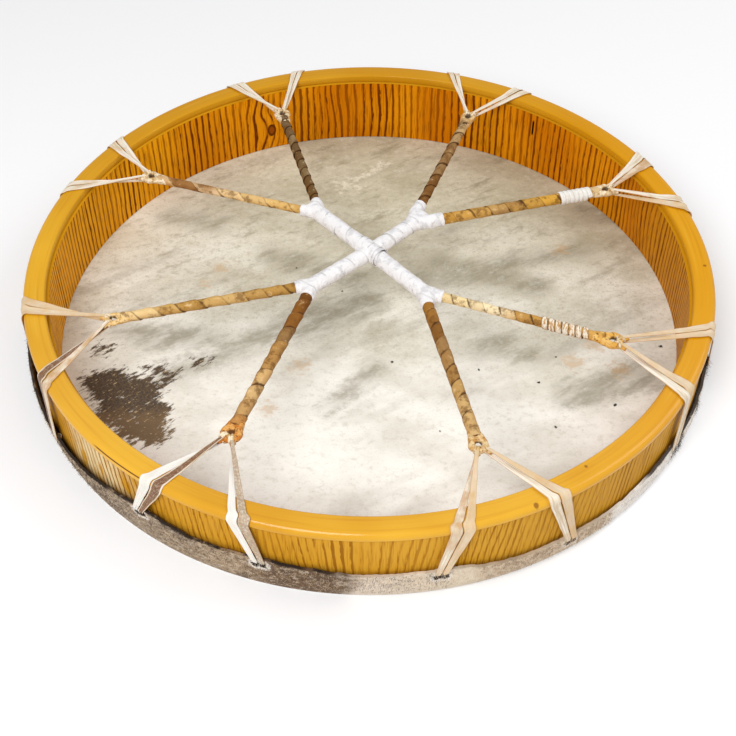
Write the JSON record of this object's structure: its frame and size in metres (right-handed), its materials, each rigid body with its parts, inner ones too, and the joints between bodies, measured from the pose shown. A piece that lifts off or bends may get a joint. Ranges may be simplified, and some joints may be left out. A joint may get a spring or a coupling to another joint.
{
  "type": "shaman frame drum",
  "caption": "Single-headed round frame drum with a bent wooden hoop, a hide head with a slit collar, and taut rawhide lacing bound into a cross grip at the open back.",
  "frame": {"origin": "middle of the playing face, which lies on the floor", "axes": "+Z from the playing face to the open back, along the drum axis; -Y towards the viewer of the picture"},
  "size_m": [0.5044, 0.5044, 0.0733],
  "materials": {
    "wall_wood": "varnished, open grain",
    "rim_wood": "smooth satin varnish",
    "hide": "scraped hide, hair left on the collar",
    "rawhide_lace": "dry translucent rawhide",
    "rawhide_knot": "tied rawhide",
    "rawhide_bundle": "twisted rawhide",
    "rawhide_wrapping": "wound rawhide strip",
    "white_binding": "matt cloth tape",
    "white_cord": "twisted cord"
  },
  "bodies": {
    "root": {"drum_head": "hide", "grip_core": "white_binding", "grip_wrap_ne": "white_binding", "grip_wrap_nw": "white_binding", "grip_wrap_se": "white_binding", "grip_wrap_sw": "white_binding", "hoop": "wall_wood", "lace_1_left": "rawhide_lace", "lace_1_right": "rawhide_lace", "lace_2_left": "rawhide_lace", "lace_2_right": "rawhide_lace", "lace_3_left": "rawhide_lace", "lace_3_right": "rawhide_lace", "lace_4_left": "rawhide_lace", "lace_4_right": "rawhide_lace", "lace_5_left": "rawhide_lace", "lace_5_right": "rawhide_lace", "lace_6_left": "rawhide_lace", "lace_6_right": "rawhide_lace", "lace_7_left": "rawhide_lace", "lace_7_right": "rawhide_lace", "lace_8_left": "rawhide_lace", "lace_8_right": "rawhide_lace", "rim_ring": "rim_wood", "spoke_1_coil": "white_cord", "spoke_1_core": "rawhide_bundle", "spoke_1_eye": "rawhide_knot", "spoke_1_wrap": "rawhide_wrapping", "spoke_2_core": "rawhide_bundle", "spoke_2_eye": "rawhide_knot", "spoke_2_wrap": "rawhide_wrapping", "spoke_3_core": "rawhide_bundle", "spoke_3_eye": "rawhide_knot", "spoke_3_wrap": "rawhide_wrapping", "spoke_4_core": "rawhide_bundle", "spoke_4_eye": "rawhide_knot", "spoke_4_wrap": "rawhide_wrapping", "spoke_5_core": "rawhide_bundle", "spoke_5_eye": "rawhide_knot", "spoke_5_wrap": "rawhide_wrapping", "spoke_6_core": "rawhide_bundle", "spoke_6_eye": "rawhide_knot", "spoke_6_wrap": "rawhide_wrapping", "spoke_7_core": "rawhide_bundle", "spoke_7_eye": "rawhide_knot", "spoke_7_wrap": "rawhide_wrapping", "spoke_8_coil": "white_cord", "spoke_8_core": "rawhide_bundle", "spoke_8_eye": "rawhide_knot", "spoke_8_wrap": "rawhide_wrapping"}
  },
  "joints": []
}
